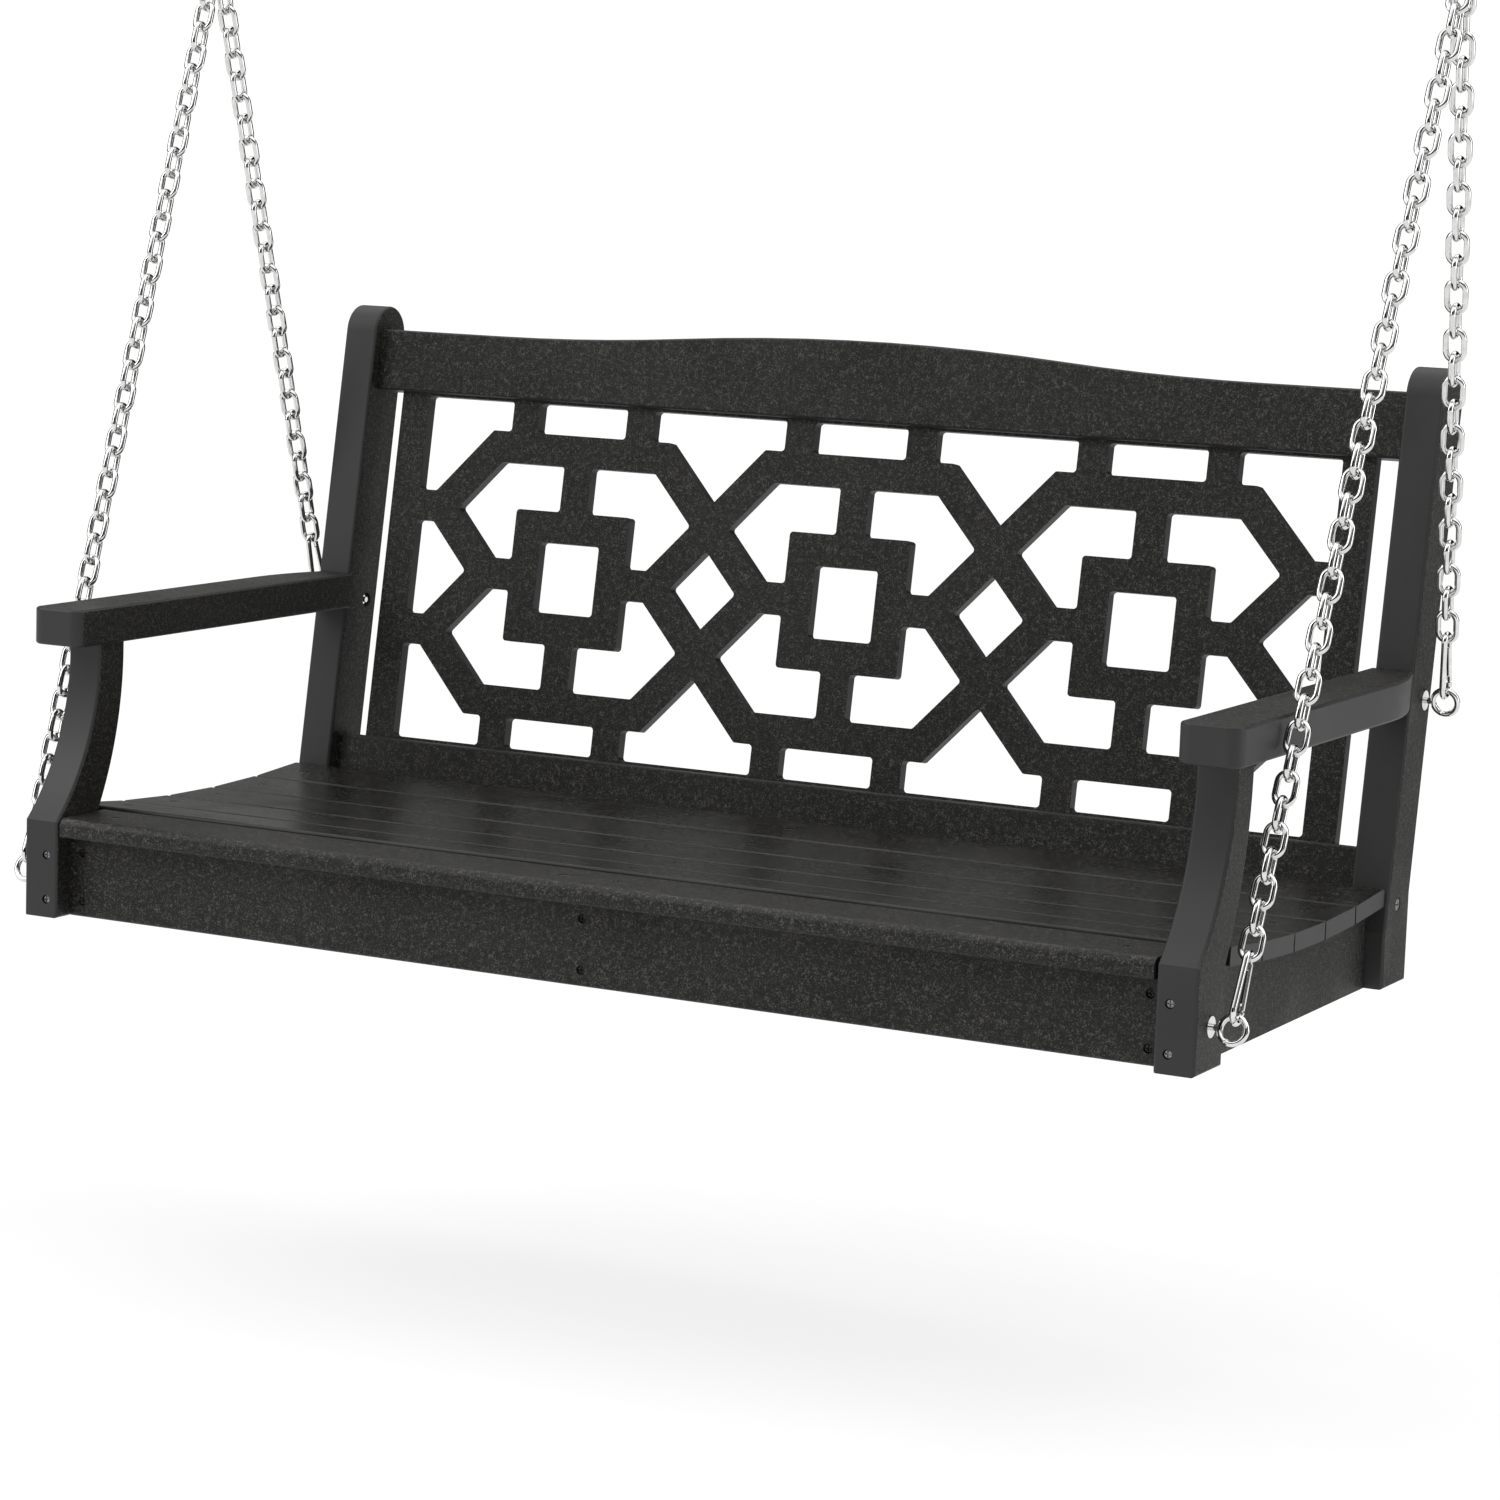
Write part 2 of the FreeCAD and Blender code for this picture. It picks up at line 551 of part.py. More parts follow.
def lattice_panel():
    front = RAIL_MID - PANEL_THICK / 2
    reach = GROOVE_DEPTH - PANEL_END_FIT
    low, high = LOWER_EDGE - reach, UPPER_EDGE + reach
    corners = [in_back(low, front, -PANEL_HALF), in_back(low, front, PANEL_HALF),
               in_back(high, front, PANEL_HALF), in_back(high, front, -PANEL_HALF)]
    sheet = plate(rounded(corners, 0.0), INTO_BACK * PANEL_THICK)
    cuts = []

    def cut_out(outline, centre, sign_x=1, sign_v=1):
        points = [in_back(BACK_CENTRE + sign_v * v, front - 1, centre + sign_x * x) for x, v in outline]
        cuts.append(plate(rounded(points, CUT_RADIUS), INTO_BACK * (PANEL_THICK + 2)))

    square, bay, window = motif_openings()
    diamond_v = CROSS_V - SLANT
    diamond = [(CROSS_X, -diamond_v), (CROSS_X + diamond_v / SLOPE, 0),
               (CROSS_X, diamond_v), (CROSS_X - diamond_v / SLOPE, 0)]
    for i in range(MOTIFS):
        centre = (i - (MOTIFS - 1) / 2) * PITCH
        cut_out(square, centre)
        for sign_v in (1, -1):
            cut_out(window, centre, 1, sign_v)
            for sign_x in (1, -1):
                cut_out(bay, centre, sign_x, sign_v)
        if i < MOTIFS - 1:
            cut_out(diamond, centre)
            cut_out(notch_opening(), centre, 1, 1)
            cut_out(notch_opening(), centre, 1, -1)
    last = (MOTIFS - 1) / 2 * PITCH
    notch, half_diamond = end_openings()
    for side in (1, -1):
        cut_out(half_diamond, side * last, side, 1)
        for sign_v in (1, -1):
            cut_out(notch, side * last, side, sign_v)
    return sheet.cut(group(cuts))


# ---- arms ----
def armrest():
    inner, outer = POST_IN - ARM_INNER, HALF + ARM_OUTER
    nose = POST_SET - ARM_NOSE
    rear = post_front_y(ARM_TOP) + ARM_BEHIND
    taper_end = post_front_y(ARM_BOTTOM)
    taper_start = taper_end - ARM_TAPER
    radius = (ARM_TAPER ** 2 + ARM_OUTER ** 2) / (2 * ARM_OUTER)
    half = math.asin(ARM_TAPER / radius) / 2

    def at(x, y):
        return Vec(x, y, ARM_BOTTOM)
    corner = ARM_CORNER
    cut = corner * (1 - math.sqrt(0.5))
    bend = at(outer - radius * (1 - math.cos(half)), taper_start + radius * math.sin(half))
    edges = [
        segment(at(inner + corner, nose), at(outer - corner, nose)),
        arc(at(outer - corner, nose), at(outer - cut, nose + cut), at(outer, nose + corner)),
        segment(at(outer, nose + corner), at(outer, taper_start)),
        arc(at(outer, taper_start), bend, at(HALF, taper_end)),
        segment(at(HALF, taper_end), at(HALF, rear)),
        segment(at(HALF, rear), at(inner, rear)),
        segment(at(inner, rear), at(inner, nose + corner)),
        arc(at(inner, nose + corner), at(inner + cut, nose + cut), at(inner + corner, nose)),
    ]
    arm = plate(Part.Wire(edges), Z * ARM_THICK)
    arm = soften(arm, EDGE, lambda edge: edge.BoundBox.ZLength < 1e-3 and edge.BoundBox.YMin < rear - 1)
    behind = [(post_front_y(z), z) for z in (ARM_BOTTOM - CUT_PAST, ARM_TOP + CUT_PAST)]
    behind += [(rear + CUT_PAST, ARM_TOP + CUT_PAST), (rear + CUT_PAST, ARM_BOTTOM - CUT_PAST)]
    return arm.cut(side_board(behind, inner - CUT_PAST, outer + CUT_PAST))


# ---- eyebolts: a bent eye on a shank, through the post to a nut in a pocket ----
def eyebolt(centre, far):
    """Eyebolt with its nut, washers and hole; the eye is turned edge-on to the pull towards far."""
    inside = Vec(POST_IN + EYE_POCKET_DEPTH, centre.y, centre.z)
    ring = Part.makeTorus(EYE_RADIUS, EYE_WIRE, centre, Y)
    opening = Vec(-EYE_RADIUS - EYE_GAP / 2, -2 * EYE_WIRE, -2 * EYE_WIRE)
    gap = Part.makeBox(4 * EYE_WIRE, 4 * EYE_WIRE, EYE_GAP, centre + opening)
    gap.rotate(centre, Y, -EYE_GAP_TURN)
    ring = ring.cut(gap)
    ring.rotate(centre, X, -math.degrees(math.atan2(far.y - centre.y, far.z - centre.z)))
    end = inside.x - NUT_THICK - 3 * WASHER_THICK
    shank = Part.makeCylinder(EYE_SHANK, centre.x - EYE_RADIUS - end, Vec(end, centre.y, centre.z), X)
    turns = [math.radians(60 * i) for i in range(7)]
    reach = NUT_FLATS / math.sqrt(3)
    seat = inside - X * (NUT_THICK + WASHER_THICK)
    nut = Part.makePolygon([seat + Y * (reach * math.cos(t)) + Z * (reach * math.sin(t)) for t in turns])
    nut = plate(nut, X * NUT_THICK).cut(Part.makeCylinder(EYE_SHANK + FIT, NUT_THICK + 2, seat - X, X))
    small = washer(inside - X * WASHER_THICK, SMALL_WASHER)
    large = washer(Vec(HALF, centre.y, centre.z), WASHER)
    hole = Part.makeCylinder(EYE_SHANK + FIT, STOCK + 2, Vec(POST_IN - 1, centre.y, centre.z), X)
    pocket = Part.makeCylinder(EYE_POCKET, EYE_POCKET_DEPTH + 1, Vec(POST_IN - 1, centre.y, centre.z), X)
    return ring.fuse(shank), nut, small, large, hole.fuse(pocket)


def washer(place, radius):
    disc = Part.makeCylinder(radius, WASHER_THICK, place, X)
    return disc.cut(Part.makeCylinder(EYE_SHANK + FIT, WASHER_THICK + 2, place - X, X))


# ---- hanging gear ----
def unit_frame(start, end):
    """Along a chain (u), across it nearest to X (a), and the third direction (b), rearward."""
    u = (end - start).normalize()
    a = (X - u * X.dot(u)).normalize()
    return u, a, u.cross(a)


def hook_start():
    """From the eye's centre to the near end of the snap hook."""
    return EYE_RADIUS - EYE_WIRE - TOUCH - 2 * HOOK_WIRE


def snap_hook(eye, far):
    """Body and gate of a spring snap hook, from an eye to a chain towards far."""
    u, a, b = unit_frame(eye, far)
    wide = eye + u * (hook_start() + HOOK_WIRE + HOOK_WIDE)
    narrow = wide + u * (HOOK_LENGTH - 2 * HOOK_WIRE - HOOK_WIDE - HOOK_NARROW)

    def around(middle, radius, degrees):
        turn = math.radians(degrees)
        return middle + b * (radius * math.cos(turn)) + u * (radius * math.sin(turn))
    tilt = math.degrees(math.asin((HOOK_WIDE - HOOK_NARROW) / (narrow - wide).Length))
    left = 180 - tilt
    eye_tip = around(wide, HOOK_WIDE, EYE_SIDE_TURN)
    pivot_tip = around(narrow, HOOK_NARROW, PIVOT_SIDE_TURN)
    edges = [
        arc(eye_tip, around(wide, HOOK_WIDE, -90), around(wide, HOOK_WIDE, left)),
        segment(around(wide, HOOK_WIDE, left), around(narrow, HOOK_NARROW, left)),
        arc(around(narrow, HOOK_NARROW, left), around(narrow, HOOK_NARROW, 95), pivot_tip),
    ]
    body = rod(edges, HOOK_WIRE)
    pivot = around(narrow, HOOK_NARROW, 0) - u * PIVOT_BACK
    latch = eye_tip + u * LATCH_AHEAD
    axis = (latch - pivot).normalize()
    across = a.cross(axis)
    for tip, stretch in ((pivot_tip, -PIVOT_TONGUE), (eye_tip, LATCH_TONGUE)):
        corner = Vec(-TONGUE, -TONGUE_HALF_WIDTH, min(0.0, stretch))
        tongue = Part.makeBox(2 * TONGUE, 2 * TONGUE_HALF_WIDTH, abs(stretch), corner)
        tongue.Placement = FreeCAD.Placement(tip, FreeCAD.Rotation(a, b, u, "ZXY"))
        body = body.fuse(tongue)
    pin_half = GATE_WIRE - PIN_SHORT
    pin = Part.makeCylinder(GATE_PIN, 2 * pin_half, pivot - a * pin_half, a)
    through, through_length = pivot - a * 2 * GATE_WIRE, 4 * GATE_WIRE
    body = body.cut(Part.makeCylinder(GATE_PIN + PIN_FIT, through_length, through, a))
    reach = (latch - pivot).Length
    gate_length = reach + GATE_OVER_PIVOT + GATE_OVER_LATCH
    gate = Part.makeCylinder(GATE_WIRE, gate_length, pivot - axis * GATE_OVER_PIVOT, axis)
    rims = [edge for edge in gate.Edges if edge.Length > 5 * GATE_WIRE and len(edge.Vertexes) == 1]
    gate = gate.makeFillet(GATE_ROUND, rims)
    slots = (
        (-GATE_OVER_PIVOT - SLOT_OPEN, PIVOT_SLOT),
        (reach - LATCH_SLOT, reach + GATE_OVER_LATCH + SLOT_OPEN),
    )
    for start, end in slots:
        corner = Vec(-GATE_SLOT, -2 * GATE_WIRE, start)
        slot = Part.makeBox(2 * GATE_SLOT, 4 * GATE_WIRE, end - start, corner)
        slot.Placement = FreeCAD.Placement(pivot, FreeCAD.Rotation(a, across, axis, "ZXY"))
        gate = gate.cut(slot)
    gate = gate.cut(Part.makeCylinder(GATE_PIN + GATE_FIT, through_length, through, a))
    return body, gate, pin


def chain_link():
    """A welded link about the origin: length along Z, width along X."""
    mean = LINK_INNER_WIDTH / 2 + LINK_WIRE
    straight = LINK_INNER_LENGTH / 2 - LINK_INNER_WIDTH / 2
    parts = []
    for sign in (1, -1):
        section = Part.Face(Part.Wire(Part.makeCircle(LINK_WIRE, Vec(mean, 0, sign * straight), Z)))
        parts.append(section.revolve(Vec(0, 0, sign * straight), Y * -sign, 180))
        parts.append(Part.makeCylinder(LINK_WIRE, 2 * straight, Vec(sign * mean, 0, -straight), Z))
    return parts[0].multiFuse(parts[1:]).removeSplitter().Solids[0]


def chain(eye, far, links):
    """A taut chain from the snap hook on an eye, its links a quarter turn apart."""
    u, a, b = unit_frame(eye, far)
    link = chain_link()
    solids = []
    for i in range(links):
        middle = eye + u * (chain_start() + i * LINK_PITCH + LINK_INNER_LENGTH / 2)
        width, depth = (a, b) if i % 2 == 0 else (b, a * -1)
        copy = link.copy()
        copy.Placement = FreeCAD.Placement(middle, FreeCAD.Rotation(width, depth, u, "ZXY"))
        solids.append(copy)
    return group(solids)


def chain_start():
    """From the eye's centre to the inner end of the first link."""
    return hook_start() + HOOK_LENGTH - 2 * HOOK_WIRE - TOUCH


def chain_reach(links):
    """From the eye's centre to the hanging ring's centre."""
    return chain_start() + links * LINK_PITCH + RING_INNER - TOUCH


def ring_centre(front, rear):
    """Where the two chains of one side meet, above the bench."""
    out = HOOK_X - front.x
    front_run = math.sqrt(chain_reach(FRONT_LINKS) ** 2 - out ** 2)
    rear_run = math.sqrt(chain_reach(REAR_LINKS) ** 2 - out ** 2)
    base = rear - front
    along = (front_run ** 2 - rear_run ** 2 + base.Length ** 2) / (2 * base.Length)
    off = math.sqrt(front_run ** 2 - along ** 2)
    direction = base * (1 / base.Length)
    place = front + direction * along + X.cross(direction) * off
    return Vec(HOOK_X, place.y, place.z)


def ceiling_hook(side):
    """A screw hook: stem, neck, and a bowl whose straight bottom lies along the swing's axis."""
    outward = X * side
    stem = outward * STEM_X
    middle = stem + Z * (BOWL_RADIUS - HOOK_DROP)
    inner = middle - outward * BOWL_FLAT

    def around(centre, degrees):
        turn = math.radians(degrees)
        return centre + outward * (BOWL_RADIUS * math.cos(turn)) + Z * (BOWL_RADIUS * math.sin(turn))
    neck = stem - Z * STEM
    bend = neck + outward * BOWL_RADIUS
    edges = [
        segment(stem - Z * FLANGE_THICK, neck),
        arc(neck, around(bend, 180 + NECK_TURN / 2), around(bend, 180 + NECK_TURN)),
        arc(around(middle, NECK_TURN), around(middle, 0), around(middle, -90)),
        segment(around(middle, -90), around(inner, -90)),
        arc(around(inner, -90), around(inner, -140), around(inner, -BOWL_END)),
    ]
    solid = rod(edges, BOWL_WIRE)
    solid = solid.fuse(Part.makeSphere(BOWL_WIRE, around(inner, -BOWL_END)))
    solid = solid.fuse(Part.makeCylinder(FLANGE, FLANGE_THICK, stem - Z * FLANGE_THICK, Z))
    solid = solid.fuse(Part.makeCylinder(STUD, STUD_LENGTH - STUD_POINT, stem, Z))
    return solid.fuse(Part.makeCone(STUD, STUD_TIP, STUD_POINT, stem + Z * (STUD_LENGTH - STUD_POINT), Z))


# =====================================================================
# bench
# =====================================================================
post_f, post_b = front_post(), back_post()
rail_s, rail_c, rail_f = side_rail(), centre_rail(), front_rail()
lower_rail = back_rail(LOWER_EDGE - LOWER_RAIL_HEIGHT, LOWER_RAIL_HEIGHT, 0).cut(groove(LOWER_EDGE, -1))
top_rail = back_rail(UPPER_EDGE, TOP_RAIL_HEIGHT, CREST_RISE).cut(groove(UPPER_EDGE, 1))
arm = armrest()
slats = [front_slat()] + [slat(i) for i in range(SLATS)]

# screws through the feet of the posts into the side rails
post_screws = []
rear_face = BACK_Y + BACK_FOOT_DEPTH
for z in (SCREW_LOW, SCREW_HIGH):
    place = Vec(HALF - POST_SCREW_OUT, 0, z)
    post_screws.append(screw(place, Y, POST_SCREW_LENGTH))
    hole = screw_hole(place, Y, POST_SCREW_LENGTH)
    post_f, rail_s = post_f.cut(hole), rail_s.cut(hole)
    place = Vec(HALF - POST_SCREW_OUT, rear_face, z)
    post_screws.append(screw(place, Y * -1, POST_SCREW_LENGTH))
    hole = screw_hole(place, Y * -1, POST_SCREW_LENGTH)
    post_b, rail_s = post_b.cut(hole), rail_s.cut(hole)

# screws through the front rail into the side rails and the centre rail
rail_screws = []
for z in (SCREW_LOW - 2.5, SCREW_HIGH + 2.0):
    place = Vec(POST_IN - RAIL_SCREW_IN, FRONT_RAIL_SET, z)
    hole = screw_hole(place, Y, RAIL_SCREW_LENGTH)
    rail_f, rail_s = rail_f.cut(hole).cut(mirror(hole)), rail_s.cut(hole)
    rail_screws += [screw(place, Y, RAIL_SCREW_LENGTH), mirror(screw(place, Y, RAIL_SCREW_LENGTH))]
    place = Vec(0, FRONT_RAIL_SET, z)
    hole = screw_hole(place, Y, RAIL_SCREW_LENGTH)
    rail_f, rail_c = rail_f.cut(hole), rail_c.cut(hole)
    rail_screws.append(screw(place, Y, RAIL_SCREW_LENGTH))

# slat screws: one at each end and in the middle; the front slat's stand clear of the rail's screws
slat_screws = []
for i in range(SLATS + 1):
    if i == 0:
        face = Vec(0, (FRONT_RAIL_SET + FRONT_RAIL_REAR) / 2, FRONT_RAIL_HEIGHT + FRONT_SLAT_THICK)
        down = Z * -1
        end = POST_IN - RAIL_SCREW_IN - SLAT_SCREW_CLEAR
        places = (-end, -SLAT_SCREW_CLEAR, SLAT_SCREW_CLEAR, end)
    else:
        base, across, up = slat_frame(i - 1)
        face, down = base + up * SLAT_THICK, up * -1
        places = (-SIDE_MID, 0.0, SIDE_MID)
    for x in places:
        place = face + X * x
        slat_screws.append(screw(place, down, SLAT_SCREW_LENGTH, sunk=SLAT_HEAD_SUNK))
        hole = screw_hole(place, down, SLAT_SCREW_LENGTH, sunk=SLAT_HEAD_SUNK)
        slats[i] = slats[i].cut(hole)
        if i == 0:
            rail_f = rail_f.cut(hole)
        elif x == 0:
            rail_c = rail_c.cut(hole)
        elif x > 0:
            rail_s = rail_s.cut(hole)

# back rails: dowels at the top, a dowel and a side bolt at the bottom
dowels = []
for u in (UPPER_EDGE + 22, UPPER_EDGE + TOP_RAIL_HEIGHT - 22, LOWER_EDGE - 25):
    pin, hole = dowel(in_back(u, RAIL_MID, POST_IN), X)
    dowels.append(pin)
    post_b, top_rail, lower_rail = post_b.cut(hole), top_rail.cut(hole), lower_rail.cut(hole)
    top_rail, lower_rail = top_rail.cut(mirror(hole)), lower_rail.cut(mirror(hole))
bolt_place = in_back(LOWER_EDGE - BOLT_DOWN, RAIL_MID, HALF)
bolt_size = {"head": BOLT_HEAD, "shank": BOLT_SHANK, "sunk": BOLT_HEAD_SUNK}
back_bolt = screw(bolt_place, X * -1, BOLT_LENGTH, **bolt_size)
hole = screw_hole(bolt_place, X * -1, BOLT_LENGTH, **bolt_size)
post_b, lower_rail = post_b.cut(hole), lower_rail.cut(hole).cut(mirror(hole))

# arms: a dowel in each front post, a screw from behind each back post
arm_x = (POST_IN + HALF) / 2
arm_pin, hole = dowel(Vec(arm_x, POST_SET + POST_TOP_DEPTH / 2, ARM_BOTTOM), Z)
post_f, arm = post_f.cut(hole), arm.cut(hole)
arm_z = (ARM_TOP + ARM_BOTTOM) / 2
rear_run = (arm_z - BEND_REAR) * math.tan(LEAN)
arm_screw_place = Vec(arm_x, rear_face + rear_run - 18, arm_z)
arm_screw = screw(arm_screw_place, Y * -1, ARM_SCREW_LENGTH)
hole = screw_hole(arm_screw_place, Y * -1, ARM_SCREW_LENGTH)
hole = hole.fuse(Part.makeCylinder(SCREW_HEAD + 0.8, 40, arm_screw_place, Y))
post_b, arm = post_b.cut(hole), arm.cut(hole)

# eyebolts
eye_f = Vec(HALF + EYE_OUT, EYE_FRONT_Y, EYE_FRONT_Z)
eye_r = Vec(HALF + EYE_OUT, post_front_y(EYE_REAR_Z) + EYE_REAR_DEPTH, EYE_REAR_Z)
apex = ring_centre(eye_f, eye_r)
eye_front, nut_f, small_f, large_f, hole = eyebolt(eye_f, apex)
post_f = post_f.cut(hole)
eye_rear, nut_r, small_r, large_r, hole = eyebolt(eye_r, apex)
post_b = post_b.cut(hole)

for name, shape in (("front_post", post_f), ("back_post", post_b), ("side_rail", rail_s), ("armrest", arm)):
    both_sides(name, shape)
for name, shape in (("front_rail", rail_f), ("centre_rail", rail_c), ("lower_back_rail", lower_rail),
                    ("top_back_rail", top_rail), ("lattice_panel", lattice_panel())):
    add(name, shape)
for i, board in enumerate(slats):
    add("seat_slat_%d" % (i + 1), board)


def pairs(solids):
    return group(solids + [mirror(solid) for solid in solids])


add("post_screws", pairs(post_screws), True)
add("front_rail_screws", group(rail_screws), True)
add("slat_screws", group(slat_screws), True)
add("back_rail_dowels", pairs(dowels))
add("back_bolts", pairs([back_bolt]), True)
add("arm_dowels", pairs([arm_pin]))
add("arm_screws", pairs([arm_screw]), True)
both_sides("eyebolt_front", eye_front, True)
both_sides("eyebolt_rear", eye_rear, True)
add("eye_washers", pairs([large_f, large_r]), True)
add("pocket_washers", pairs([small_f, small_r]), True)
add("eye_nuts", pairs([nut_f, nut_r]), True)

# hanging gear
pins = []
for end, eye, links in (("front", eye_f, FRONT_LINKS), ("rear", eye_r, REAR_LINKS)):
    body, gate, pin = snap_hook(eye, apex)
    both_sides("snap_hook_" + end, body, True)
    both_sides("snap_gate_" + end, gate, True)
    both_sides("chain_" + end, chain(eye, apex, links), True)
    pins += [pin, mirror(pin)]
add("gate_pins", group(pins), True)
both_sides("hanging_ring", Part.makeTorus(RING_INNER + RING_WIRE, RING_WIRE, apex, X), True)

# =====================================================================
# weigh the bench and hang it: it turns about the wire of the ceiling hooks
# =====================================================================
mass, moment = 0.0, Vec(0, 0, 0)
for name, shape in shapes.items():
    density = STEEL_DENSITY if name in steel else BOARD_DENSITY
    for solid in shape.Solids:
        mass += solid.Volume * density
        moment += solid.CenterOfMass * (solid.Volume * density)
balance = moment * (1 / mass)
ring_rise = RING_INNER - BOWL_WIRE - SWING_GAP
pitch = math.atan2(apex.y - balance.y, apex.z - balance.z)
level = FreeCAD.Placement(Vec(0, 0, 0), FreeCAD.Rotation(X, math.degrees(pitch)))
hang = FreeCAD.Placement(Vec(0, 0, -HOOK_DROP - ring_rise), FreeCAD.Rotation())
hang = hang.multiply(level).multiply(FreeCAD.Placement(Vec(0, -apex.y, -apex.z), FreeCAD.Rotation()))
for name, shape in shapes.items():
    placed = shape.copy()
    placed.Placement = hang.multiply(placed.Placement)
    shapes[name] = placed
add("ceiling_hook_r", ceiling_hook(1), True)
add("ceiling_hook_l", ceiling_hook(-1), True)

os.makedirs("parts", exist_ok=True)
for name, shape in shapes.items():
    shape.exportStep("parts/" + name + ".step")
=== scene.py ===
"""Looks of the porch swing: recycled-plastic boards, bright zinc chains and hooks, soft studio light."""
import bpy
import math
from mathutils import Matrix, Vector


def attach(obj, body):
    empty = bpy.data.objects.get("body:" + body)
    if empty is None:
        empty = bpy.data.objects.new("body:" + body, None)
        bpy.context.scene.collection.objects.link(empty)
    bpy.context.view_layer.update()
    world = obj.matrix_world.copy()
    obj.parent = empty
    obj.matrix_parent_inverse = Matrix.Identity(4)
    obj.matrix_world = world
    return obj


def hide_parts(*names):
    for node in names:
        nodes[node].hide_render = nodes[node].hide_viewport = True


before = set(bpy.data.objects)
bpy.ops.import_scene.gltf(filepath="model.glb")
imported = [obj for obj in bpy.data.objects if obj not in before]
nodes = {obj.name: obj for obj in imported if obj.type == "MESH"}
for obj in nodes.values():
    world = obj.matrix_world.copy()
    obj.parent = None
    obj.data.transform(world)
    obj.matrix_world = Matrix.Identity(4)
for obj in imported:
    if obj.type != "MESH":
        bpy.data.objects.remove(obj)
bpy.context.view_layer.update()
SIDES = {"r": 1.0, "l": -1.0}
MM = 0.001

# ---- how the bench hangs: its own square frame, pitched about X and set down under the hooks. The
# ---- pitch and the shift are what the design works out from the bench's centre of mass ----
PITCH = math.radians(4.0163498173)
HANG = Matrix.Translation((0.0, -0.3300124033, -1.0844807178)) @ Matrix.Rotation(PITCH, 4, "X")
LEAN = math.radians(9.5)                    # of the back, from the bench's plumb


def hung(x, y, z):
    """A point of the bench, in its own millimetres, where it hangs."""
    return HANG @ Vector((x * MM, y * MM, z * MM))


def turned(x, y, z):
    """A direction of the bench, as it hangs."""
    return (HANG.to_3x3() @ Vector((x, y, z))).normalized()


# ================================================================================================
# small helpers
# ================================================================================================
def srgb(code):
    """An sRGB hex colour as linear red, green, blue and alpha."""
    parts = [int(code[i:i + 2], 16) / 255.0 for i in (1, 3, 5)]
    return [c / 12.92 if c <= 0.04045 else ((c + 0.055) / 1.055) ** 2.4 for c in parts] + [1.0]


def node(tree, kind, inputs=(), stops=(), **settings):
    """Adds a node; inputs maps a socket's name or number to a value or to another node's socket, and
    stops are the (place, sRGB hex) pairs of a colour ramp, in rising order."""
    made = tree.nodes.new(kind)
    for key, value in settings.items():
        setattr(made, key, value)
    for key, value in dict(inputs).items():
        if isinstance(value, bpy.types.NodeSocket):
            tree.links.new(value, made.inputs[key])
        else:
            made.inputs[key].default_value = value
    if stops:
        elements = made.color_ramp.elements
        while len(elements) < len(stops):
            elements.new(0.5)
        for element, (place, code) in zip(elements, stops):
            element.position = place
            element.color = srgb(code)
    return made


def start_material(name):
    """A new material and its tree, shader and object coordinates."""
    material = bpy.data.materials.new(name)
    material.use_nodes = True
    tree = material.node_tree
    return material, tree, tree.nodes["Principled BSDF"], node(tree, "ShaderNodeTexCoord")


def dress(obj, material):
    """Gives the whole of an object one material."""
    obj.data.materials.clear()
    obj.data.materials.append(material)
    for face in obj.data.polygons:
        face.material_index = 0


# ================================================================================================
# materials
# ================================================================================================
# noise scales, each one over the real size of what it draws, in metres
GRAIN = 1.0 / 0.0016        # stipple of the sheet's face, drawn coarser than its real 1 mm so that it shows
PEBBLE = 1.0 / 0.005        # coarser drift in the stipple
CLOUD = 1.0 / 0.14          # slow drift of colour and gloss in the recycled plastic
CUTTER = 1.0 / 0.0016       # marks that the cutter leaves along a sawn and routed edge
HAZE = 1.0 / 0.006          # cloudiness of the zinc
GRIME_AND_SHADE = 1.0 / 0.002         # patches of dirt on a screw's head, and painted shade of the recess it sits in
MOTTLE = 1.0 / 0.003        # glass fibre under the face of a dowel
GRAIN_SHARE, PEBBLE_SHARE = 0.75, 0.25      # of the stipple
STIPPLE_TONES = [(0.37, "#060606"), (0.48, "#111110"), (0.55, "#252421"), (0.63, "#504e47")]
EDGE_PALE = "#343435"
BROAD_FROM, BROAD_FULL = 0.80, 0.96         # how squarely a face looks the broad way, to be stippled
FACE_ROUGH, EDGE_ROUGH = (0.50, 0.62), (0.42, 0.50)
MARK_STRETCH = 0.25         # of the cutter's marks, along the board
MARK_RELIEF = 0.05          # of the cutter's marks, as a share of the stipple's
STIPPLE_DEPTH = 0.0014      # metres
STIPPLE_BUMP, GLOSS_FLATTENS = 0.6, 1.4     # strength of the relief, and what gloss takes off it


